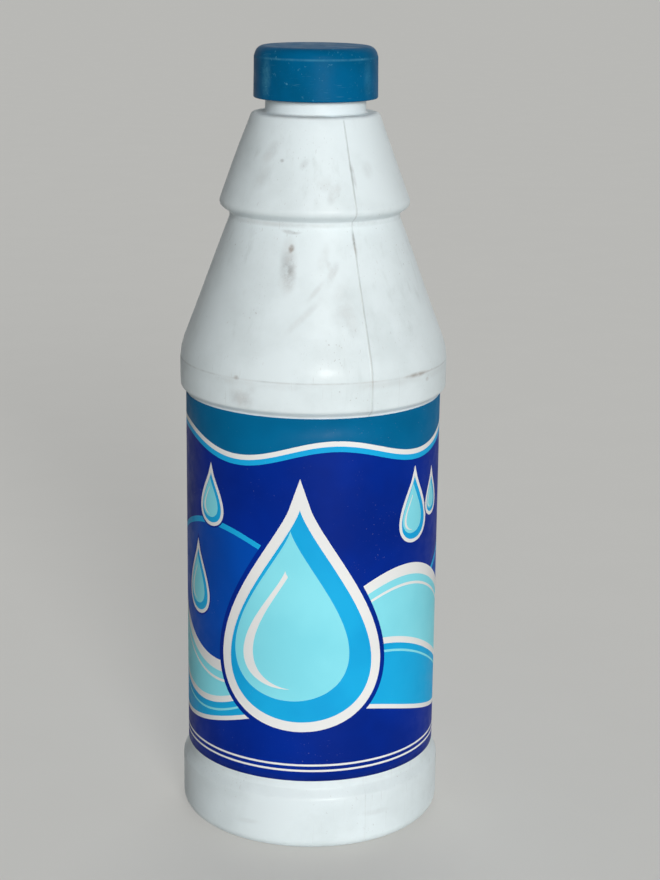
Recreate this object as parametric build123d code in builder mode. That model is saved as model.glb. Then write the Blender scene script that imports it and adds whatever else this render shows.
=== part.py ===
from build123d import *
from math import cos, degrees, radians, sin
import os

os.makedirs("parts", exist_ok=True)

# A half-litre bleach bottle, blow-moulded in one piece, with a wrap-around label and a screw cap.
# Millimetres. The bottle stands on z = 0 with its axis on Z, and its front faces -Y.

INCH = 25.4

# Body heights, stacked from the base upwards
base_band_height = 14.2
base_step_height = 2.4
panel_height = 97.5
shoulder_step_height = 1.3
shoulder_band_height = 9.6
lower_cone_height = 33.4
groove_height = 1.3
ring_rise = 2.0
upper_cone_height = 22.6
neck_height = 13.8

# Body radii
panel_radius = 32.5
band_proud = 1.5
groove_radius = 21.5
ring_radius = 24.3
cone_top_radius = 15.9
wall = 1.0

# Base: a flat standing ring round a shallow push-up
heel_round = 3.2
standing_ring_width = 2.2
push_up = 3.2
push_up_slope = 0.6
push_up_run = 2.4
push_up_round = 4.0
ring_round = 0.8
pinch_width = 1.0
pinch_drop = 0.5
pinch_length = 46.0

# Rounded edges of the body
base_step_round = 1.8
shoulder_step_round = 1.2
panel_round = 0.8
cone_round = 14.0
groove_round = 0.7
bead_round = 1.7
cone_top_round = 1.2
neck_root_round = 0.6
land_round = 0.4

# Neck finish and its one-turn thread
neck_radius = 12.55
bore_radius = 10.8
bore_lead = 2.0
thread_height = 1.15
threads_per_inch = 6
thread_crest = 1.0
thread_flank = 0.55
thread_drop = 1.7
thread_fade = 50.0
thread_sink = 0.3

# Mould parting line
seam_angle = -65.2
seam_proud = 0.14
seam_width = 0.4

# Screw cap
cap_radius = 15.5
cap_height = 12.9
cap_top_thickness = 1.6
cap_draft = 0.12
cap_bevel_width = 0.9
cap_bevel_height = 2.6
cap_edge_round = 0.5
cap_top_round = 2.4
cap_crown = 0.25
cap_rim_round = 0.4
cap_clearance = 0.3
cap_flank_clearance = 0.25
cap_thread_crest = 0.8
cap_lead_in = 0.5
liner_bead_proud = 0.6
liner_bead_height = 0.9

# Liner
liner_thickness = 1.0
liner_clearance = 0.2

# Label
label_thickness = 0.12
label_glue = 0.04
label_bottom_margin = 2.2
label_top_margin = 0.4
label_lap = 8.0

# Levels, radii and pitch that follow from the sizes above
band_radius = panel_radius + band_proud
panel_bottom = base_band_height + base_step_height
panel_top = panel_bottom + panel_height
panel_middle = (panel_bottom + panel_top) / 2
shoulder_band_bottom = panel_top + shoulder_step_height
lower_cone_bottom = shoulder_band_bottom + shoulder_band_height
groove_bottom = lower_cone_bottom + lower_cone_height
groove_top = groove_bottom + groove_height
upper_cone_bottom = groove_top + ring_rise
plateau = upper_cone_bottom + upper_cone_height
land = plateau + neck_height
standing_ring_inner = band_radius - heel_round - standing_ring_width
push_up_edge = standing_ring_inner - push_up_run
thread_pitch = INCH / threads_per_inch
crest_radius = neck_radius + thread_height
cap_bore = crest_radius + cap_clearance
cap_ceiling = land + liner_thickness
cap_top = cap_ceiling + cap_top_thickness
cap_bottom = cap_top - cap_height

# Outside of the bottle, from the axis under the base to the axis above the mouth
with BuildSketch(Plane.XZ) as outline:
    with BuildLine() as skin:
        side = FilletPolyline(
            (0, push_up),
            (push_up_edge, push_up - push_up_slope),
            (standing_ring_inner, 0),
            (band_radius, 0),
            (band_radius, base_band_height),
            (panel_radius, panel_bottom),
            (panel_radius, panel_top),
            (band_radius, shoulder_band_bottom),
            (band_radius, lower_cone_bottom),
            (groove_radius, groove_bottom),
            (groove_radius, groove_top),
            (ring_radius, upper_cone_bottom),
            (cone_top_radius, plateau),
            (neck_radius, plateau),
            (neck_radius, land),
            (0, land),
            radius=(
                push_up_round,
                ring_round,
                heel_round,
                base_step_round,
                panel_round,
                panel_round,
                shoulder_step_round,
                cone_round,
                groove_round,
                groove_round,
                bead_round,
                cone_top_round,
                neck_root_round,
                land_round,
            ),
        )
        Line(side @ 1, side @ 0)
    make_face()

# Inside of the bottle: the same form one wall in, with softer edges, and the moulded bore of the neck
with BuildSketch(Plane.XZ) as hollow:
    with BuildLine() as inner_skin:
        inner_side = FilletPolyline(
            (0, push_up + wall),
            (push_up_edge, push_up - push_up_slope + wall),
            (standing_ring_inner, wall),
            (band_radius - wall, wall),
            (band_radius - wall, base_band_height),
            (panel_radius - wall, panel_bottom),
            (panel_radius - wall, panel_top),
            (band_radius - wall, shoulder_band_bottom),
            (band_radius - wall, lower_cone_bottom),
            (groove_radius - wall, groove_bottom),
            (groove_radius - wall, groove_top + wall / 2),
            (ring_radius - wall, upper_cone_bottom + wall / 2),
            (cone_top_radius - wall, plateau - bore_lead),
            (bore_radius, plateau),
            (bore_radius, land),
            (0, land),
            radius=(
                push_up_round,
                ring_round,
                heel_round,
                0,
                0,
                0,
                0,
                cone_round,
                0,
                0,
                0,
                0,
                0,
                0,
            ),
        )
        Line(inner_side @ 1, inner_side @ 0)
    make_face()

# Thread of the neck: one turn of a right-hand ridge that sinks into the neck at both ends
thread_foot = thread_crest + 2 * thread_flank * (thread_height + thread_sink)
neck_fade_shift = thread_height / (1 - cos(radians(thread_fade)))
neck_thread_start = land - thread_drop - thread_pitch
with BuildPart() as neck_thread:
    with BuildLine() as neck_helix:
        Helix(thread_pitch, thread_pitch, neck_radius, center=(0, 0, neck_thread_start))
    with BuildSketch(Plane.XZ) as neck_ridge:
        with BuildLine():
            Polyline(
                (neck_radius - thread_sink, neck_thread_start - thread_foot / 2),
                (crest_radius, neck_thread_start - thread_crest / 2),
                (crest_radius, neck_thread_start + thread_crest / 2),
                (neck_radius - thread_sink, neck_thread_start + thread_foot / 2),
                close=True,
            )
        make_face()
    sweep(path=neck_helix.line, is_frenet=True)
    with BuildSketch(Plane.XY.offset(plateau)) as neck_fade:
        with Locations((-neck_fade_shift, 0)):
            Circle(neck_radius + neck_fade_shift)
    extrude(amount=neck_height, mode=Mode.INTERSECT)

# Bottle: the revolved wall with its thread, parting line and the pinch-off scar under the base
seam_direction = (cos(radians(seam_angle)), sin(radians(seam_angle)), 0)
seam_normal = (sin(radians(seam_angle)), -cos(radians(seam_angle)), 0)
seam_plane = Plane(origin=(0, 0, 0), x_dir=seam_direction, z_dir=seam_normal)
seam_span = 2 * (band_radius + band_proud)
pinch_plane = Plane(origin=(0, 0, push_up - push_up_slope - pinch_drop), x_dir=seam_direction)
with BuildPart() as bottle:
    revolve(outline.sketch, axis=Axis.Z)
    with BuildSketch(seam_plane) as seam:
        add(outline.sketch_local)
        offset(amount=seam_proud)
        mirror(about=Plane.YZ)
        with Locations((0, panel_middle)):
            Rectangle(seam_span, panel_height, mode=Mode.SUBTRACT)
        with Locations((0, heel_round)):
            Rectangle(seam_span, heel_round * 2, align=(Align.CENTER, Align.MAX), mode=Mode.SUBTRACT)
        with Locations((0, plateau)):
            Rectangle(seam_span, neck_height * 2, align=(Align.CENTER, Align.MIN), mode=Mode.SUBTRACT)
    extrude(amount=seam_width / 2, both=True)
    with BuildSketch(pinch_plane) as pinch:
        SlotOverall(pinch_length, pinch_width)
    extrude(amount=wall + pinch_drop)
    add(neck_thread.part)
    revolve(hollow.sketch, axis=Axis.Z, mode=Mode.SUBTRACT)
bottle.part.label = "bottle"
export_step(bottle.part, "parts/bottle.step")

# Thread of the cap: the same helix, lying under the neck's ridge and held off it by a clearance
cap_crest_radius = neck_radius + cap_clearance
cap_thread_height = cap_bore - cap_crest_radius
cap_thread_foot = cap_thread_crest + 2 * thread_flank * (cap_thread_height + thread_sink)
cap_fade_shift = cap_thread_height / (1 - cos(radians(thread_fade)))
flank_overlap = crest_radius - cap_crest_radius
flank_reach = (thread_crest + cap_thread_crest) / 2 + thread_flank * flank_overlap
cap_thread_start = neck_thread_start - flank_reach - cap_flank_clearance
with BuildPart() as cap_thread:
    with BuildLine() as cap_helix:
        Helix(thread_pitch, thread_pitch, cap_bore, center=(0, 0, cap_thread_start))
    with BuildSketch(Plane.XZ) as cap_ridge:
        with BuildLine():
            Polyline(
                (cap_bore + thread_sink, cap_thread_start - cap_thread_foot / 2),
                (cap_crest_radius, cap_thread_start - cap_thread_crest / 2),
                (cap_crest_radius, cap_thread_start + cap_thread_crest / 2),
                (cap_bore + thread_sink, cap_thread_start + cap_thread_foot / 2),
                close=True,
            )
        make_face()
    sweep(path=cap_helix.line, is_frenet=True)
    with BuildSketch(Plane.XY.offset(cap_bottom)) as cap_fade:
        with Locations((cap_fade_shift, 0)):
            Circle(cap_bore - cap_fade_shift)
    extrude(amount=cap_height, mode=Mode.SUBTRACT)

# Cap: a smooth skirt that leans in above an edge and rounds over to the top, bored to clear the neck's thread
with BuildPart() as cap:
    with BuildSketch(Plane.XZ) as cap_outline:
        with BuildLine():
            cap_side = FilletPolyline(
                (0, cap_bottom),
                (cap_radius, cap_bottom),
                (cap_radius - cap_draft, cap_top - cap_crown - cap_bevel_height),
                (cap_radius - cap_bevel_width, cap_top - cap_crown),
                (0, cap_top),
                radius=(cap_rim_round, cap_edge_round, cap_top_round),
            )
            Line(cap_side @ 1, cap_side @ 0)
        make_face()
    revolve(axis=Axis.Z)
    with BuildSketch(Plane.XZ) as cap_hollow:
        with BuildLine():
            Polyline(
                (0, cap_bottom),
                (cap_bore + cap_lead_in, cap_bottom),
                (cap_bore, cap_bottom + cap_lead_in),
                (cap_bore, land - liner_bead_height),
                (cap_bore - liner_bead_proud, land - liner_bead_height / 2),
                (cap_bore, land),
                (cap_bore, cap_ceiling),
                (0, cap_ceiling),
                close=True,
            )
        make_face()
    revolve(axis=Axis.Z, mode=Mode.SUBTRACT)
    add(cap_thread.part)
cap.part.label = "cap"
export_step(cap.part, "parts/cap.step")

# Liner: a foam disc between the neck and the cap
with BuildPart() as cap_liner:
    with BuildSketch(Plane.XY.offset(land)) as disc:
        Circle(cap_bore - liner_clearance)
    extrude(amount=liner_thickness)
cap_liner.part.label = "cap_liner"
export_step(cap_liner.part, "parts/cap_liner.step")

# Label: one sheet wrapped round the panel, with its end lapped over its start at the back
label_inner = panel_radius + label_glue
label_outer = label_inner + label_thickness
label_bottom = panel_bottom + label_bottom_margin
label_height = panel_height - label_bottom_margin - label_top_margin
lap_angle = degrees(label_lap / label_outer)
with BuildPart() as label:
    with BuildSketch(Plane.XY.offset(label_bottom)) as wrap:
        Circle(label_outer)
        Circle(label_inner, mode=Mode.SUBTRACT)
    extrude(amount=label_height)
    with BuildSketch(Plane.YZ) as lap:
        with Locations((label_outer, label_bottom)):
            Rectangle(2 * label_thickness, label_height, align=(Align.CENTER, Align.MIN))
    revolve(axis=Axis.Z, revolution_arc=lap_angle)
label.part.label = "label"
export_step(label.part, "parts/label.step")
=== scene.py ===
import bpy
import math
import numpy as np
from mathutils import Matrix, Vector, geometry


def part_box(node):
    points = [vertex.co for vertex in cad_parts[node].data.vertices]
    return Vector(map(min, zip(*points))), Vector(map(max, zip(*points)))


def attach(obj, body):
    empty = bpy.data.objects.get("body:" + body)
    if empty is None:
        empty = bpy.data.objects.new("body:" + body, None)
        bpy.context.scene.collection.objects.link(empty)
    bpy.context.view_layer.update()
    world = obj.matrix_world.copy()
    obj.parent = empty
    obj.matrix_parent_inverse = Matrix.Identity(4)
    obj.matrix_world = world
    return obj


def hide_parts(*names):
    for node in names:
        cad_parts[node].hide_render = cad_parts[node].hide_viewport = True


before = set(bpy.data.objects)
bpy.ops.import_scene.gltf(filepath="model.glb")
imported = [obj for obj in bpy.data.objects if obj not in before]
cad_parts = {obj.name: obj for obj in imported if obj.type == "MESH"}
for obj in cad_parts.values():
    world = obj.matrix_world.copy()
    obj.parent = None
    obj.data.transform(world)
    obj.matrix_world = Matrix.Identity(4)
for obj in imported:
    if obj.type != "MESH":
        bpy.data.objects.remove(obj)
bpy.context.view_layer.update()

# The bottle is blown in one piece from white polyethylene in a two-part mould, so a fine parting line runs
# down both cones and both bands. The neck carries one turn of thread, and handling has left grey smudges,
# small scratches and a rubbed ring where the shoulder band is widest.
MM = 0.001
bottle_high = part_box("bottle")[1]
land = bottle_high.z
band_radius = bottle_high.x
wall = 1.0 * MM
standing_ring_inner = 28.6 * MM
push_up = 3.2 * MM
push_up_edge = 26.2 * MM
push_up_edge_height = 2.6 * MM
base_band_top = 14.2 * MM
panel_radius = 32.5 * MM
panel_bottom = 16.6 * MM
panel_top = 114.1 * MM
shoulder_band_bottom = 115.4 * MM
shoulder_band_top = 125.0 * MM
groove_radius = 21.5 * MM
groove_bottom = 158.4 * MM
groove_top = 159.7 * MM
ring_radius = 24.3 * MM
ring_height = 161.7 * MM
cone_top_radius = 15.9 * MM
plateau = 184.3 * MM
neck_radius = 12.55 * MM
bore_radius = 10.8 * MM
bore_lead = 2.0 * MM

# rounded edges, from the base up the outside and into the mouth
push_up_round = 4.0 * MM
ring_round = 0.8 * MM
heel_round = 3.2 * MM
base_step_round = 1.8 * MM
panel_round = 0.8 * MM
shoulder_step_round = 1.2 * MM
cone_round = 14.0 * MM
groove_round = 0.7 * MM
bead_round = 1.7 * MM
cone_top_round = 1.2 * MM
neck_root_round = 0.6 * MM
land_round = 0.4 * MM
mouth_round = 0.2 * MM
bore_round = 1.0 * MM
inner_bead_round = 0.8 * MM
inner_step_round = 0.6 * MM

# (radius, height, rounding) from the axis under the base, up the outside, and down the inside to the axis
bottle_corners = (
    (0, push_up, 0),
    (push_up_edge, push_up_edge_height, push_up_round),
    (standing_ring_inner, 0, ring_round),
    (band_radius, 0, heel_round),
    (band_radius, base_band_top, base_step_round),
    (panel_radius, panel_bottom, panel_round),
    (panel_radius, panel_top, panel_round),
    (band_radius, shoulder_band_bottom, shoulder_step_round),
    (band_radius, shoulder_band_top, cone_round),
    (groove_radius, groove_bottom, groove_round),
    (groove_radius, groove_top, groove_round),
    (ring_radius, ring_height, bead_round),
    (cone_top_radius, plateau, cone_top_round),
    (neck_radius, plateau, neck_root_round),
    (neck_radius, land, land_round),
    (bore_radius, land, mouth_round),
    (bore_radius, plateau, bore_round),
    (cone_top_radius - wall, plateau - bore_lead, bore_round),
    (ring_radius - wall, ring_height + wall / 2, inner_bead_round),
    (groove_radius - wall, groove_top + wall / 2, inner_step_round),
    (groove_radius - wall, groove_bottom, inner_step_round),
    (band_radius - wall, shoulder_band_top, cone_round),
    (band_radius - wall, shoulder_band_bottom, inner_step_round),
    (panel_radius - wall, panel_top, inner_step_round),
    (panel_radius - wall, panel_bottom, inner_bead_round),
    (band_radius - wall, base_band_top, inner_bead_round),
    (band_radius - wall, wall, heel_round),
    (standing_ring_inner, wall, ring_round),
    (push_up_edge, push_up_edge_height + wall, push_up_round),
    (0, push_up + wall, 0),
)


def rounded_path(corners, arc_step):
    """Points through (radius, height, rounding) corners, with a tangent arc at each inner one."""
    points = [Vector(corners[0][:2])]
    for before, corner, after in zip(corners, corners[1:], corners[2:]):
        tip = Vector(corner[:2])
        back = (Vector(before[:2]) - tip).normalized()
        ahead = (Vector(after[:2]) - tip).normalized()
        half = back.angle(ahead) / 2
        centre = tip + (back + ahead).normalized() * corner[2] / math.sin(half)
        spoke = tip + back * corner[2] / math.tan(half) - centre
        turn = math.copysign(math.pi - 2 * half, back.y * ahead.x - back.x * ahead.y)
        steps = max(2, math.ceil(abs(turn) / arc_step))
        points += [centre + Matrix.Rotation(turn * step / steps, 2) @ spoke for step in range(steps + 1)]
    return points + [Vector(corners[-1][:2])]


def spaced(points, longest):
    """The same path with its long runs divided, so that no row is wider than longest(height)."""
    rows = [points[0]]
    for start, end in zip(points, points[1:]):
        parts = max(1, math.ceil((end - start).length / longest(max(start.y, end.y))))
        rows += [start.lerp(end, part / parts) for part in range(1, parts + 1)]
    return rows


# rows lie closer on the thread and at the fine mould line round the top of the shoulder band, and wider
# apart behind the label and on the inside
arc_step = math.radians(12)
body_row = 1.6 * MM
neck_row = 0.28 * MM
line_row = 0.12 * MM
hidden_row = 5.0 * MM
mould_line = 122.7 * MM
mould_line_zone = 0.7 * MM


def hidden_rows(height):
    """The widest row on the inside, the same at any height."""
    return hidden_row


def outer_rows(height):
    """The widest row at a height on the outside."""
    if height > plateau:
        return neck_row
    if panel_bottom + hidden_row < height < panel_top - hidden_row:
        return hidden_row
    return line_row if abs(height - mould_line) < mould_line_zone else body_row


# the outside is divided in three passes, each finer where the rows of the last one reach a closer zone
bottle_path = rounded_path(bottle_corners, arc_step)
mouth = max(range(len(bottle_path)), key=lambda index: bottle_path[index].y)
outside_path = bottle_path[: mouth + 1]
for longest in (hidden_rows, outer_rows, outer_rows):
    outside_path = spaced(outside_path, longest)
inside_path = spaced(bottle_path[mouth:], hidden_rows)
bottle_rows = outside_path + inside_path[1:]
row_radius = np.array([row.x for row in bottle_rows])[:, None]
row_height = np.array([row.y for row in bottle_rows])[:, None]
is_outside = (np.arange(len(bottle_rows)) < len(outside_path))[:, None]

# azimuth is measured from the front of the bottle towards its right-hand side, and columns crowd where the
# two parting lines run
wall_columns = 224
seam_azimuth = math.radians(24.8)
seam_half_width = math.radians(0.5)
seam_clearance = math.radians(1.3)
seam_columns = seam_half_width * np.array((-2.0, -1.0, -0.55, -0.25, 0, 0.25, 0.55, 1.0, 2.0))


def from_seam(azimuth):
    """The angle from the nearer parting line."""
    return np.abs((azimuth - seam_azimuth + math.pi / 2) % math.pi - math.pi / 2)


even_columns = np.linspace(-math.pi, math.pi, wall_columns, endpoint=False)
clear_columns = even_columns[from_seam(even_columns) > seam_clearance]
column_azimuth = np.sort(
    np.concatenate((clear_columns, seam_azimuth + seam_columns, seam_azimuth - math.pi + seam_columns))
)[None, :]

# parting line: a low ridge on the two cones and the shoulder band, and a lower one on the base band
seam_proud = 0.14 * MM
base_seam_share = 0.45
seam_end_gap = 0.3 * MM
on_shoulder = (row_height > panel_top) & (row_height < plateau - seam_end_gap)
on_base = (row_height > heel_round) & (row_height < panel_bottom)
seam_share = np.where(on_shoulder, 1.0, np.where(on_base, base_seam_share, 0.0))
seam_ridge = seam_proud * seam_share * np.clip(1 - (from_seam(column_azimuth) / seam_half_width) ** 2, 0, 1)

# thread: one right-hand turn that fades into the neck at both ends
INCH = 25.4 * MM
threads_per_inch = 6
thread_height = 1.15 * MM
thread_crest = 1.0 * MM
thread_flank = 0.55
thread_drop = 1.7 * MM
thread_fade_angle = math.radians(50)
neck_foot = 1.0 * MM
thread_pitch = INCH / threads_per_inch
thread_start = land - thread_drop - thread_pitch
thread_fade = thread_height / (1 - math.cos(thread_fade_angle))
thread_turn = (column_azimuth - math.pi / 2) % (2 * math.pi)
from_helix = np.abs(row_height - thread_start - thread_pitch * thread_turn / (2 * math.pi))
thread_ridge = np.clip(thread_height - (from_helix - thread_crest / 2) / thread_flank, 0, thread_height)
thread_ridge = np.minimum(thread_ridge, thread_fade * (1 - np.cos(thread_turn)))
thread_ridge = thread_ridge * (row_height > plateau + neck_foot)

# blown walls are never quite true: slow swells from the shoulder band up to the neck, which die away at both
# ends, each as (waves round the wall, climb in one radian, share, phase)
swell = 0.07 * MM
swell_rise = 4 * MM
swell_fall = 6 * MM
swell_waves = ((3, 9 * MM, 1.0, 0.0), (5, -6 * MM, 0.7, 1.3), (8, 4 * MM, 0.5, 2.1))
swell_zone = np.clip((row_height - shoulder_band_bottom) / swell_rise, 0, 1)
swell_zone = swell_zone * np.clip((plateau - row_height) / swell_fall, 0, 1)
swells = swell * swell_zone * sum(
    share * np.sin(count * column_azimuth + row_height / climb + phase)
    for count, climb, share, phase in swell_waves
)

# the band stands a hair proud of the cone above the mould line
line_step = 0.045 * MM
line_step_width = 0.25 * MM
band_step_rise = 3 * MM
band_step = line_step * np.clip((mould_line - row_height) / line_step_width + 0.5, 0, 1)
band_step = band_step * np.clip((row_height - shoulder_band_bottom) / band_step_rise, 0, 1)

outside_relief = (seam_ridge + thread_ridge + swells + band_step) * is_outside
relief_radius = row_radius + np.where(row_radius > 0, outside_relief, 0)

# pinch-off scar: where the mould nipped the tube shut, a low bar crosses the base in line with the parting
# lines
scar_level = 2.1 * MM
scar_half_length = 23.0 * MM
scar_half_width = 0.5 * MM
scar_flank = 0.3 * MM
from_scar = np.abs(row_radius * np.sin(column_azimuth - seam_azimuth))
scar_share = np.clip((scar_half_width + scar_flank / 2 - from_scar) / scar_flank, 0, 1)
scar_share = scar_share * np.clip((scar_half_length - row_radius) / scar_flank, 0, 1)
under_base = is_outside & (row_height < push_up + wall) & (row_height > scar_level)
relief_height = row_height - under_base * scar_share * (row_height - scar_level)


def lathe(name, radius, height, azimuth):
    """A closed smooth-shaded mesh from rows of radius and height; the first and last rows are poles."""
    rows, columns = radius.shape
    ring_points = np.stack((radius * np.sin(azimuth), -radius * np.cos(azimuth), height), axis=-1)
    ring_points = ring_points[1:-1].reshape(-1, 3)
    first_pole = len(ring_points)
    points = np.vstack((ring_points, (0, 0, height[0, 0]), (0, 0, height[-1, 0])))
    faces = []
    for column in range(columns):
        beside = (column + 1) % columns
        last = (rows - 3) * columns
        faces.append((first_pole, beside, column))
        faces.append((first_pole + 1, last + column, last + beside))
        for row in range(0, last, columns):
            faces.append((row + column, row + beside, row + columns + beside, row + columns + column))
    mesh = bpy.data.meshes.new(name)
    mesh.from_pydata(points.tolist(), [], faces)
    mesh.shade_smooth()
    piece = bpy.data.objects.new(name, mesh)
    bpy.context.collection.objects.link(piece)
    return piece


def add_node(tree, kind, inputs=None, **settings):
    """A shader node with its settings made and its inputs set or linked."""
    made = tree.nodes.new("ShaderNode" + kind)
    for name, value in settings.items():
        setattr(made, name, value)
    for name, value in (inputs or {}).items():
        if isinstance(value, bpy.types.NodeSocket):
            tree.links.new(value, made.inputs[name])
        else:
            made.inputs[name].default_value = value
    return made


def added(tree, first, second):
    """The sum of two shares, held at 1."""
    return add_node(tree, "Math", {0: first, 1: second}, operation="ADD", use_clamp=True).outputs[0]


def times(tree, first, second):
    """The product of two shares."""
    return add_node(tree, "Math", {0: first, 1: second}, operation="MULTIPLY", use_clamp=True).outputs[0]


def heaped(tree, layers):
    """Several shares added up in their order, held at 1."""
    total = layers[0]
    for layer in layers[1:]:
        total = added(tree, total, layer)
    return total


def distance_from(tree, value, middle):
    """How far a value lies from a middle one, either way."""
    offset = add_node(tree, "Math", {0: value, 1: middle}, operation="SUBTRACT").outputs[0]
    return add_node(tree, "Math", {0: offset}, operation="ABSOLUTE").outputs[0]


def ramp(tree, value, low, high, at_low=0.0, at_high=1.0):
    """A smooth step of a value between two limits."""
    limits = {"Value": value, "From Min": low, "From Max": high, "To Min": at_low, "To Max": at_high}
    return add_node(tree, "MapRange", limits, interpolation_type="SMOOTHSTEP").outputs[0]


def noise(tree, where, cycles, detail=4.0, roughness=0.55):
    """Noise of a given number of cycles in a metre, or in a unit of a stretched place."""
    settings = {"Vector": where, "Scale": cycles, "Detail": detail, "Roughness": roughness}
    return add_node(tree, "TexNoise", settings).outputs[0]


def patches(tree, where, cycles, low, high, at_low=0.0, at_high=1.0, detail=4.0, roughness=0.55):
    """Soft patches, where noise goes from a low level to a high one."""
    return ramp(tree, noise(tree, where, cycles, detail, roughness), low, high, at_low, at_high)


def stretched(tree, place, cycles, turn=(0, 0, 0)):
    """A place for streaky noise: its cycles in a metre along each axis, and its turn in radians."""
    return add_node(tree, "Mapping", {"Vector": place, "Rotation": turn, "Scale": cycles}).outputs[0]


def mixed(tree, share, under, over):
    """One colour laid over another by a share."""
    layers = {"Factor": share, 6: under, 7: over}
    return add_node(tree, "Mix", layers, data_type="RGBA").outputs[2]


def bump(tree, height, strength, distance, over=None):
    """The surface's direction, roughened by a height, over another bump where one is given."""
    relief = {"Height": height, "Strength": strength, "Distance": distance}
    if over is not None:
        relief["Normal"] = over
    return add_node(tree, "Bump", relief).outputs[0]


def new_material(name):
    """A material with its tree, its shader and the place on the object in metres."""
    material = bpy.data.materials.new(name)
    material.use_nodes = True
    tree = material.node_tree
    shader = tree.nodes["Principled BSDF"]
    place = add_node(tree, "TexCoord").outputs["Object"]
    return material, tree, shader, place


def connect(tree, shader, outputs):
    """Brings nodes to the sockets of the shader that they are named for."""
    for socket, output in outputs.items():
        tree.links.new(output, shader.inputs[socket])


# milky white polyethylene with a mould-matt skin, greyed here and there by handling
polyethylene = (0.782, 0.872, 0.905, 1)
polyethylene_grey = (0.60, 0.675, 0.69, 1)
bottle_white, tree, shader, place = new_material("bottle_polyethylene")
shader.inputs["Subsurface Weight"].default_value = 0.12
shader.inputs["Subsurface Radius"].default_value = (1.0, 1.0, 1.0)
shader.inputs["Subsurface Scale"].default_value = 1.5 * MM
shader.inputs["Specular IOR Level"].default_value = 0.3
height_here = add_node(tree, "SeparateXYZ", {"Vector": place}).outputs["Z"]
handled_above = ramp(tree, height_here, panel_bottom, panel_top, at_low=0.3)
cloud = patches(tree, place, 55, 0.40, 0.72, at_high=0.42, detail=6, roughness=0.6)
wipe_place = stretched(tree, place, cycles=(420, 420, 60), turn=(0.1, 0.6, 0.15))
wipes = patches(tree, wipe_place, 1.0, 0.5, 0.75, at_high=0.4, detail=5, roughness=0.6)
wipe_zone = times(tree, patches(tree, place, 38, 0.45, 0.65, detail=3), handled_above)
handled = added(tree, cloud, times(tree, wipes, wipe_zone))
skin_colour = mixed(tree, handled, polyethylene, polyethylene_grey)

# smudges: (azimuth, height, half width, half height, lean, depth), in degrees, millimetres and shares
smudges = (
    (-14.4, 150.2, 2.7, 9.0, -5, 0.36),
    (-15.4, 147.0, 2.5, 6.0, -10, 0.25),
    (-12.2, 147.5, 1.6, 5.5, -6, 0.14),
    (-13.9, 153.6, 1.0, 1.35, 10, 0.85),
    (10.4, 148.2, 1.4, 3.4, 28, 0.32),
    (8.4, 149.6, 1.0, 2.0, -20, 0.28),
    (5.2, 151.5, 1.8, 4.5, 16, 0.14),
    (-17.0, 157.4, 2.4, 0.7, 8, 0.45),
    (-11.0, 157.2, 1.6, 0.5, -6, 0.3),
    (-5.0, 138.0, 1.3, 8.5, 46, 0.16),
    (1.0, 144.0, 0.9, 4.0, 40, 0.18),
    (14.5, 141.0, 3.6, 9.0, 12, 0.14),
    (17.5, 137.0, 2.6, 6.0, -15, 0.14),
    (-33.4, 122.9, 1.1, 0.8, 0, 0.6),
    (-31.0, 117.8, 4.6, 3.4, 20, 0.38),
    (-27.0, 120.0, 2.6, 1.6, -30, 0.16),
    (49.0, 122.7, 6.4, 0.9, 0, 0.62),
    (56.0, 120.8, 1.0, 0.8, 0, 0.45),
    (-35.2, 175.8, 2.4, 4.4, 30, 0.22),
    (-38.0, 170.0, 2.8, 4.4, 20, 0.15),
    (-24.0, 174.2, 0.8, 0.6, 0, 0.42),
    (-7.5, 173.6, 1.2, 2.0, 40, 0.22),
    (12.0, 166.8, 1.7, 3.8, 32, 0.26),
    (7.0, 169.0, 2.6, 2.6, -30, 0.14),
    (25.9, 171.0, 0.8, 4.6, -6, 0.36),
    (25.0, 154.5, 0.7, 4.2, -4, 0.48),
    (38.0, 172.0, 2.2, 3.0, 0, 0.15),
    (30.0, 9.0, 6.0, 1.2, 3, 0.13),
    (-28.0, 6.5, 5.0, 1.0, -4, 0.12),
    (150.0, 146.0, 3.4, 8.5, 30, 0.2),
    (-140.0, 152.0, 2.0, 6.4, -20, 0.24),
    (178.0, 170.0, 1.8, 4.0, 15, 0.22),
    (95.0, 141.0, 2.8, 7.5, -25, 0.2),
    (-100.0, 136.0, 2.6, 6.4, 30, 0.18),
)
patch_reach = 6 * MM
patch_core = 0.8


def soft_patch(tree, place, radius, azimuth, height, half_width, half_height, lean, depth):
    """A soft-edged patch on a round wall, leaning by some degrees, as deep as depth in its middle."""
    angle = math.radians(azimuth)
    patch = {
        "Vector": place,
        "Location": (radius * math.sin(angle), -radius * math.cos(angle), height * MM),
        "Rotation": (0, math.radians(lean), angle),
        "Scale": (half_width * MM, patch_reach, half_height * MM),
    }
    patch_place = add_node(tree, "Mapping", patch, vector_type="TEXTURE").outputs[0]
    fade = add_node(tree, "TexGradient", {"Vector": patch_place}, gradient_type="SPHERICAL").outputs[1]
    return ramp(tree, fade, 0.0, patch_core, at_high=depth)


standing_row = int(np.argmin(row_height))
wall_heights = row_height[standing_row : len(outside_path), 0]
wall_radii = row_radius[standing_row : len(outside_path), 0]
blotch = patches(tree, place, 330, 0.28, 0.62, at_low=0.3, detail=6, roughness=0.68)
darkening_layers = []
for smudge in smudges:
    smudge_height = smudge[1] * MM
    radius = float(np.interp(smudge_height, wall_heights, wall_radii))
    darkening_layers.append(times(tree, soft_patch(tree, place, radius, *smudge), blotch))

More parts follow.
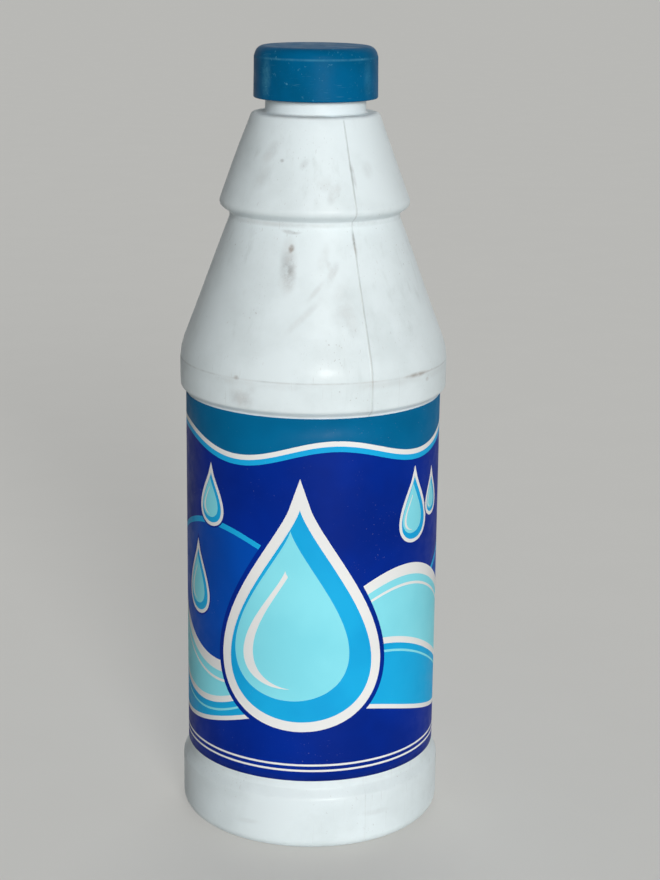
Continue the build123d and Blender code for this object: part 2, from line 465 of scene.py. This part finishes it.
# dirt that lies in the parting line, fainter towards the base and none on the neck
seam_normal = (math.cos(seam_azimuth), math.sin(seam_azimuth), 0)
off_seam = add_node(tree, "VectorMath", {0: place, 1: seam_normal}, operation="DOT_PRODUCT").outputs["Value"]
seam_line_core = 0.08 * MM
seam_line_edge = 0.34 * MM
seam_line = ramp(tree, distance_from(tree, off_seam, 0.0), seam_line_core, seam_line_edge, 0.36, 0.0)
seam_dirt = times(tree, seam_line, patches(tree, place, 160, 0.3, 0.62, at_low=0.3, detail=5, roughness=0.6))
seam_dirt = times(tree, seam_dirt, ramp(tree, height_here, panel_bottom, panel_top, at_low=0.2))
seam_dirt_top = plateau - 1.0 * MM
seam_dirt = times(tree, seam_dirt, ramp(tree, height_here, seam_dirt_top, plateau, at_low=1.0, at_high=0.0))
darkening_layers.append(seam_dirt)


def broken_ring(tree, place, level, half_height, depth, cycles):
    """A level ring that comes and goes round its piece, as deep as depth at its level."""
    height = add_node(tree, "SeparateXYZ", {"Vector": place}).outputs["Z"]
    broken = patches(tree, place, cycles, 0.36, 0.66, detail=8, roughness=0.72)
    ring = ramp(tree, distance_from(tree, height, level), 0.0, half_height, at_low=depth, at_high=0.0)
    return times(tree, ring, broken)


# dark rings: in the mould line, rubbed below it, and darker in the groove and at the neck's root: (level,
# half height, depth, cycles)
rubbed_level = mould_line - 0.9 * MM
groove_level = 159.0 * MM
dark_rings = (
    (mould_line, 0.35 * MM, 0.34, 48),
    (rubbed_level, 1.6 * MM, 0.16, 90),
    (groove_level, 1.0 * MM, 0.3, 60),
    (plateau, 0.6 * MM, 0.45, 60),
)
darkening_layers += [broken_ring(tree, place, *ring) for ring in dark_rings]

# fine scratches that lean one way, and specks
scratch_place = stretched(tree, place, cycles=(2600, 2600, 70), turn=(0.3, 0.75, 0.2))
scratches = patches(tree, scratch_place, 1.0, 0.66, 0.74, at_high=0.28, detail=2, roughness=0.5)
specks = patches(tree, place, 1500, 0.70, 0.75, at_high=0.45, detail=2, roughness=0.4)
darkening_layers.append(times(tree, scratches, patches(tree, place, 60, 0.46, 0.64, detail=2)))
darkening_layers.append(times(tree, specks, patches(tree, place, 75, 0.48, 0.66, detail=3)))

grime = (0.235, 0.23, 0.225, 1)
smear = (0.40, 0.375, 0.355, 1)
darkening = heaped(tree, darkening_layers)
darkening_colour = mixed(tree, patches(tree, place, 180, 0.4, 0.6, detail=3), grime, smear)
skin_roughness = patches(tree, place, 260, 0.25, 0.75, at_low=0.34, at_high=0.5, detail=5, roughness=0.6)
mould_grain = bump(tree, noise(tree, place, 2600, 3, 0.6), strength=0.10, distance=0.06 * MM)
flow_marks = bump(tree, noise(tree, place, 90, 3, 0.5), strength=0.08, distance=0.5 * MM, over=mould_grain)
bottle_finish = {
    "Base Color": mixed(tree, darkening, skin_colour, darkening_colour),
    "Roughness": added(tree, skin_roughness, darkening),
    "Normal": flow_marks,
}
connect(tree, shader, bottle_finish)

bottle = lathe("bottle_body", relief_radius, relief_height, column_azimuth)
bottle.data.materials.append(bottle_white)
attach(bottle, "bottle")
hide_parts("bottle")

# The label is one printed sheet, wrapped round the recessed panel and glued, with its end lapped over its
# start at the back. Its print is a generic design of waves and water drops in flat inks with white key
# lines, under a thin varnish.
label_low, label_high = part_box("label")
label_radius = label_high.x
label_height = label_high.z - label_low.z
half_turn = math.pi * label_radius
lap = 8.0 * MM
lap_ramp = 1.2 * MM
# the lap makes the label one sheet deeper at the back than it is at the side
sheet_thickness = label_high.y - label_high.x
NAVY, ROYAL, TEAL, MID_CYAN, LIGHT_CYAN, WHITE = range(6)


def wave(level, swing=0.0, shift=0.0, count=0):
    """Height of a printed wave as a function of the distance round the label."""
    return lambda across: level + swing * np.sin(count * across / label_radius + shift)


def below(edge, drop):
    """The same printed edge, moved down the sheet."""
    return lambda across: edge(across) - drop


# printed bands from the top edge down, each over the one before it: (upper edge, ink)
hem = wave(label_height - 8.0 * MM, swing=2.4 * MM, shift=0.9, count=4)
far_wave = wave(56 * MM, swing=10 * MM, shift=math.pi + 0.15, count=2)
crest = wave(42 * MM, swing=13 * MM, shift=0.0, count=2)
middle = wave(27.5 * MM, swing=9.5 * MM, shift=0.5, count=2)
lower = wave(15.5 * MM, swing=5.0 * MM, shift=1.2, count=2)
foot_rule = wave(4.6 * MM)
printed_bands = (
    (hem, WHITE),
    (below(hem, 1.3 * MM), MID_CYAN),
    (below(hem, 2.7 * MM), NAVY),
    (far_wave, MID_CYAN),
    (below(far_wave, 1.5 * MM), ROYAL),
    (crest, WHITE),
    (below(crest, 3.0 * MM), LIGHT_CYAN),
    (below(crest, 5.0 * MM), WHITE),
    (below(crest, 5.7 * MM), LIGHT_CYAN),
    (middle, WHITE),
    (below(middle, 1.7 * MM), MID_CYAN),
    (below(middle, 3.4 * MM), LIGHT_CYAN),
    (below(middle, 4.0 * MM), MID_CYAN),
    (lower, WHITE),
    (below(lower, 1.2 * MM), NAVY),
    (foot_rule, WHITE),
    (below(foot_rule, 0.55 * MM), NAVY),
    (below(foot_rule, 1.5 * MM), WHITE),
    (below(foot_rule, 2.05 * MM), NAVY),
)

# a drop is fullest below its middle, and its point reaches further out than its sides when it is grown
drop_fullness = 1.30
drop_point = 1.6
point_reach = 3.0
least_points = 48


def drop_outline(centre, foot, width, height, grow=0.0):
    """Points round a pointed water drop, wider by grow on every side."""
    angles = np.linspace(0, 2 * math.pi, least_points + 2 * round(width / MM), endpoint=False)
    across = width / 2 * drop_fullness * np.sin(angles) * np.sin(angles / 2) ** drop_point
    up = height / 2 * np.cos(angles)
    ahead = np.stack((np.roll(across, -1) - np.roll(across, 1), np.roll(up, -1) - np.roll(up, 1)), axis=1)
    ahead /= np.linalg.norm(ahead, axis=1)[:, None]
    outward = np.stack((-ahead[:, 1], ahead[:, 0]), axis=1)
    outward[0] *= point_reach
    return np.stack((across, up), axis=1) + outward * grow + (centre, foot + height / 2)


def inside(outline, across, up):
    """Which of many points lie inside a closed outline."""
    odd = np.zeros(len(across), bool)
    for (x, y), (next_x, next_y) in zip(outline, np.roll(outline, -1, axis=0)):
        if y != next_y:
            spans = (y > up) != (next_y > up)
            odd ^= spans & (across < (next_x - x) * (up - y) / (next_y - y) + x)
    return odd


# drops: (distance round, foot, width, height)
drops = (
    (-3.0 * MM, 16 * MM, 42 * MM, 56 * MM),
    (29.5 * MM, 61 * MM, 10.5 * MM, 16.5 * MM),
    (38.5 * MM, 66 * MM, 6 * MM, 9.5 * MM),
    (-29.0 * MM, 65 * MM, 8.5 * MM, 13 * MM),
    (-35.5 * MM, 40 * MM, 10.5 * MM, 16.5 * MM),
    (67.0 * MM, 40 * MM, 12 * MM, 19 * MM),
    (-67.0 * MM, 60 * MM, 11 * MM, 17 * MM),
)
# inside its key line a drop has a shaded body, a lit body and a glint, as shares of its width and height:
# (shift across, lift, width, height, ink)
drop_layers = (
    (0, 0, 1, 1, MID_CYAN),
    (-0.055, 0.10, 0.80, 0.80, LIGHT_CYAN),
    (-0.085, 0.155, 0.60, 0.56, WHITE),
    (-0.025, 0.155, 0.588, 0.60, LIGHT_CYAN),
)
key_line_share = 0.062
key_line_least = 0.9 * MM
dark_line_share = 1.5
printed_shapes = []
for centre, foot, width, height in drops:
    key_line = max(key_line_share * width, key_line_least)
    dark_line = dark_line_share * key_line
    printed_shapes.append((drop_outline(centre, foot, width, height, dark_line), NAVY))
    printed_shapes.append((drop_outline(centre, foot, width, height, key_line), WHITE))
    for shift, lift, wide, tall, ink in drop_layers:
        layer = drop_outline(centre + shift * width, foot + lift * height, wide * width, tall * height)
        printed_shapes.append((layer, ink))

# the sheet is laid out flat, with columns close enough to bend round the bottle and an edge along every
# change of ink, and is then wrapped
wrap_columns = 181
turn_columns = np.linspace(-half_turn, half_turn, wrap_columns)
lap_columns = half_turn + lap_ramp * np.array((0.5, 1.0))
sheet_end = half_turn + lap
column_places = np.concatenate((turn_columns, lap_columns, (sheet_end,)))
weld_distance = 1e-7
flat_points, flat_edges = [], []


def add_line(line_points, closed=False):
    """A printed edge, or an edge of the sheet, that the mesh has to follow."""
    first = len(flat_points)
    flat_points.extend(Vector(point) for point in line_points)
    flat_edges.extend((index, index + 1) for index in range(first, len(flat_points) - 1))
    if closed:
        flat_edges.append((len(flat_points) - 1, first))


def wrapped(point):
    """Where a point of the flat sheet lies round the bottle; the lapped end climbs over the start."""
    lift = sheet_thickness * min(max((point.x - half_turn) / lap_ramp, 0), 1)
    angle = point.x / label_radius
    radius = label_radius + lift
    return (radius * math.sin(angle), -radius * math.cos(angle), label_low.z + point.y)


for across in column_places:
    add_line(((across, 0), (across, label_height)))
for level in (0, label_height):
    add_line([(across, level) for across in column_places])
for edge, ink in printed_bands:
    add_line([(across, edge(across)) for across in column_places])
for outline, ink in printed_shapes:
    add_line(outline.tolist(), closed=True)
sheet_points, _, sheet_faces, *_ = geometry.delaunay_2d_cdt(flat_points, flat_edges, [], 0, weld_distance)
label_mesh = bpy.data.meshes.new("label_print")
label_mesh.from_pydata([wrapped(point) for point in sheet_points], [], sheet_faces)
face_middles = np.array([np.mean([sheet_points[corner] for corner in face], axis=0) for face in sheet_faces])
face_across, face_up = face_middles.T
face_inks = np.full(len(sheet_faces), TEAL)
for edge, ink in printed_bands:
    face_inks[face_up < edge(face_across)] = ink
for outline, ink in printed_shapes:
    face_inks[inside(outline, face_across, face_up)] = ink
label_mesh.polygons.foreach_set("material_index", face_inks)
label_mesh.shade_smooth()
label = bpy.data.objects.new("label_print", label_mesh)
bpy.context.collection.objects.link(label)
thickness = label.modifiers.new("sheet", "SOLIDIFY")
thickness.thickness = sheet_thickness
thickness.offset = -1
thickness.use_even_offset = True

# inks in the order of their numbers, laid a little unevenly and dusted here and there: (name, full, thin)
inks = (
    ("label_navy", (0.0, 0.024, 0.30, 1), (0.0, 0.017, 0.225, 1)),
    ("label_royal", (0.0, 0.075, 0.46, 1), (0.0, 0.060, 0.38, 1)),
    ("label_teal", (0.0, 0.145, 0.33, 1), (0.0, 0.118, 0.27, 1)),
    ("label_mid_cyan", (0.012, 0.44, 0.82, 1), (0.008, 0.37, 0.74, 1)),
    ("label_light_cyan", (0.27, 0.80, 0.91, 1), (0.23, 0.74, 0.86, 1)),
    ("label_white", (0.86, 0.87, 0.86, 1), (0.81, 0.82, 0.82, 1)),
)
dust = (0.70, 0.72, 0.72, 1)
for name, full_ink, thin_ink in inks:
    ink_print, tree, shader, place = new_material(name)
    shader.inputs["Specular IOR Level"].default_value = 0.07
    laid = patches(tree, place, 38, 0.35, 0.68, detail=3)
    dusty = patches(tree, place, 2400, 0.70, 0.77, at_high=0.16, detail=2, roughness=0.4)
    dusty = times(tree, dusty, patches(tree, place, 60, 0.45, 0.68, detail=3))
    fibres = bump(tree, noise(tree, place, 1800, 4, 0.6), strength=0.08, distance=0.05 * MM)
    cockle = bump(tree, noise(tree, place, 70, 2), strength=0.10, distance=0.4 * MM, over=fibres)
    ink_finish = {
        "Base Color": mixed(tree, dusty, mixed(tree, laid, full_ink, thin_ink), dust),
        "Roughness": patches(tree, place, 300, 0.3, 0.7, at_low=0.40, at_high=0.54),
        "Normal": cockle,
    }
    connect(tree, shader, ink_finish)
    label_mesh.materials.append(ink_print)
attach(label, "bottle")
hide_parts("label")

# The liner is a disc punched from white polyethylene foam and pushed up into the cap. It takes the print of
# the neck's rim as a slightly darker ring.
foam_shade = (0.62, 0.62, 0.60, 1)
foam_light = (0.80, 0.80, 0.78, 1)
foam_pressed = (0.55, 0.56, 0.55, 1)
rim_middle = (neck_radius + bore_radius) / 2
rim_print_core = 0.4 * MM
rim_print_edge = 1.2 * MM
liner_foam, tree, shader, place = new_material("liner_foam")
shader.inputs["Roughness"].default_value = 0.85
level_place = add_node(tree, "VectorMath", {0: place, 1: (1, 1, 0)}, operation="MULTIPLY").outputs[0]
axis_distance = add_node(tree, "VectorMath", {0: level_place}, operation="LENGTH").outputs["Value"]
rim_distance = distance_from(tree, axis_distance, rim_middle)
rim_print = ramp(tree, rim_distance, rim_print_core, rim_print_edge, at_low=0.7, at_high=0.0)
cells = add_node(tree, "TexVoronoi", {"Vector": place, "Scale": 2200.0}).outputs["Distance"]
foam = mixed(tree, ramp(tree, cells, 0.0, 0.6), foam_shade, foam_light)
foam_finish = {
    "Base Color": mixed(tree, rim_print, foam, foam_pressed),
    "Normal": bump(tree, cells, strength=0.35, distance=0.15 * MM),
}
connect(tree, shader, foam_finish)
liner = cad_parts["cap_liner"]
liner.data.materials.clear()
liner.data.materials.append(liner_foam)

# The cap is moulded in teal blue polypropylene, with a plain skirt that leans in above an edge and rounds
# over to the top, and it screws down on the neck. Hands have scuffed its skirt. The pale ring along the edge
# is a painted highlight as well as rubbed wear, and the two pale patches at the sides are painted
# reflections as well as finger rubbing.
cap_full_blue = (0.0, 0.114, 0.270, 1)
cap_thin_blue = (0.0, 0.096, 0.220, 1)
# pale blue for scuffs and rubbing, and for the painted highlight and painted reflections
cap_pale_wear_and_sheen = (0.10, 0.38, 0.54, 1)
cap_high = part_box("cap")[1]
cap_edge = cap_high.z - 2.85 * MM
cap_blue, tree, shader, place = new_material("cap_polypropylene")
shader.inputs["Specular IOR Level"].default_value = 0.04
cap_colour = mixed(tree, patches(tree, place, 120, 0.35, 0.7), cap_full_blue, cap_thin_blue)
scuff_place = stretched(tree, place, cycles=(260, 260, 2600))
scuffs = patches(tree, scuff_place, 1.0, 0.58, 0.74, at_high=0.30, detail=5, roughness=0.6)
scuffs = times(tree, scuffs, patches(tree, place, 150, 0.46, 0.66, detail=3))
chips = patches(tree, place, 1500, 0.63, 0.73, at_high=0.45, detail=3, roughness=0.5)
chips = times(tree, chips, patches(tree, place, 180, 0.42, 0.60, detail=2))
# a pale ring along the edge: a painted highlight as well as rubbed wear
edge_sheen_and_wear = broken_ring(tree, place, cap_edge, half_height=0.45 * MM, depth=0.34, cycles=110)

# pale patches: the two at the sides are painted reflections as well as finger rubbing, the two at the back
# finger rubbing: (azimuth, height, half width, half height, lean, depth)
grip_and_sheen_patches = (
    (-52, 193.2, 2.4, 6.5, 2, 0.40),
    (55, 193.0, 2.2, 6.5, -2, 0.15),
    (142, 192.6, 3.0, 5.5, 6, 0.22),
    (-128, 193.4, 2.6, 6.0, -5, 0.26),
)
grip_and_sheen_grain = patches(tree, place, 900, 0.30, 0.62, at_low=0.35, detail=5, roughness=0.65)
wear_and_sheen_layers = [scuffs, chips, edge_sheen_and_wear]
for patch in grip_and_sheen_patches:
    wear_and_sheen_layers.append(times(tree, soft_patch(tree, place, cap_high.x, *patch), grip_and_sheen_grain))
# scuffs, chips and rubbing, with the painted highlight and painted reflections, as one share
worn_and_sheen = heaped(tree, wear_and_sheen_layers)
cap_roughness = patches(tree, place, 300, 0.3, 0.7, at_low=0.32, at_high=0.44)
cap_finish = {
    "Base Color": mixed(tree, worn_and_sheen, cap_colour, cap_pale_wear_and_sheen),
    "Roughness": added(tree, cap_roughness, worn_and_sheen),
    "Normal": bump(tree, noise(tree, place, 1600, 4, 0.6), strength=0.12, distance=0.06 * MM),
}
connect(tree, shader, cap_finish)
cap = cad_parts["cap"]
cap.data.materials.clear()
cap.data.materials.append(cap_blue)

# The bottle stands on a wide pale floor under soft light: a key a little to the right of the camera, a
# weaker light behind and a dim, even sky. The camera looks down on it from just above the cap.
backdrop = (0.95, 0.95, 0.92, 1)
floor_half = 8.0
floor_dark = (0.51, 0.51, 0.49, 1)
floor_light = (0.55, 0.55, 0.53, 1)
floor_glow_share = 0.33


def seen_by_eye(tree, share):
    """A share for rays that the camera sees, straight, reflected or through glass, and none for others."""
    ray = add_node(tree, "LightPath").outputs
    seen = heaped(tree, [ray["Is Camera Ray"], ray["Is Glossy Ray"], ray["Is Transmission Ray"]])
    return times(tree, seen, share)


floor_mesh = bpy.data.meshes.new("floor")
floor_corners = [(-1, -1, 0), (1, -1, 0), (1, 1, 0), (-1, 1, 0)]
floor_mesh.from_pydata([Vector(corner) * floor_half for corner in floor_corners], [], [(0, 1, 2, 3)])
floor = bpy.data.objects.new("floor", floor_mesh)
bpy.context.collection.objects.link(floor)
floor_paint, tree, shader, place = new_material("floor_paint")
shader.inputs["Roughness"].default_value = 0.8
shader.inputs["Specular IOR Level"].default_value = 0.0
connect(tree, shader, {"Base Color": mixed(tree, noise(tree, place, 30), floor_dark, floor_light)})
floor_glow = add_node(tree, "Emission", {"Color": backdrop}).outputs[0]
floor_seen = seen_by_eye(tree, floor_glow_share)
floor_mix = add_node(tree, "MixShader", {0: floor_seen, 1: shader.outputs[0], 2: floor_glow})
tree.links.new(floor_mix.outputs[0], tree.nodes["Material Output"].inputs["Surface"])
floor_mesh.materials.append(floor_paint)

sky_colour = (0.95, 0.97, 1.0, 1)
sky_strength = 0.11
far_wall_strength = 0.50
world = bpy.data.worlds.new("studio")
bpy.context.scene.world = world
world.use_nodes = True
tree = world.node_tree
sky = tree.nodes["Background"]
sky.inputs["Color"].default_value = sky_colour
sky.inputs["Strength"].default_value = sky_strength
far_wall = add_node(tree, "Background", {"Color": backdrop, "Strength": far_wall_strength}).outputs[0]
sky_mix = add_node(tree, "MixShader", {0: seen_by_eye(tree, 1.0), 1: sky.outputs[0], 2: far_wall})
tree.links.new(sky_mix.outputs[0], tree.nodes["World Output"].inputs["Surface"])

lamp_colour = (1.0, 0.99, 0.97)


def soft_lamp(name, toward, softness, level, shines):
    """A broad far-off lamp; a level of 1 lights a facing surface at the colour it is written with."""
    lamp = bpy.data.lights.new(name, "SUN")
    lamp.energy = math.pi * level
    lamp.angle = math.radians(softness)
    lamp.color = lamp_colour
    holder = bpy.data.objects.new(name, lamp)
    holder.rotation_euler = (-Vector(toward)).to_track_quat("-Z", "Y").to_euler()
    holder.visible_glossy = shines
    bpy.context.collection.objects.link(holder)


soft_lamp("key_light", toward=(0.24, -0.97, 0.22), softness=18, level=0.88, shines=True)
soft_lamp("back_light", toward=(0.1, 0.95, 0.28), softness=50, level=0.62, shines=False)

# camera: lens and sensor in millimetres, turns in radians, place in metres
lens_length = 80.24
sensor_width = 36.0
camera_place = (0, -0.4919, 0.2308)
pitch = 0.2601
yaw = 0.0091
roll = -0.0111
ahead = Vector((math.sin(yaw) * math.cos(pitch), math.cos(yaw) * math.cos(pitch), -math.sin(pitch)))
level_right = Vector((math.cos(yaw), -math.sin(yaw), 0))
down = ahead.cross(level_right)
image_right = level_right * math.cos(roll) + down * math.sin(roll)
image_down = down * math.cos(roll) - level_right * math.sin(roll)
camera_data = bpy.data.cameras.new("camera")
camera_data.lens = lens_length
camera_data.sensor_width = sensor_width
camera = bpy.data.objects.new("camera", camera_data)
turned = Matrix((image_right, -image_down, -ahead)).transposed()
camera.matrix_world = Matrix.Translation(camera_place) @ turned.to_4x4()
bpy.context.collection.objects.link(camera)
bpy.context.scene.camera = camera
bpy.context.scene.view_settings.view_transform = "Standard"
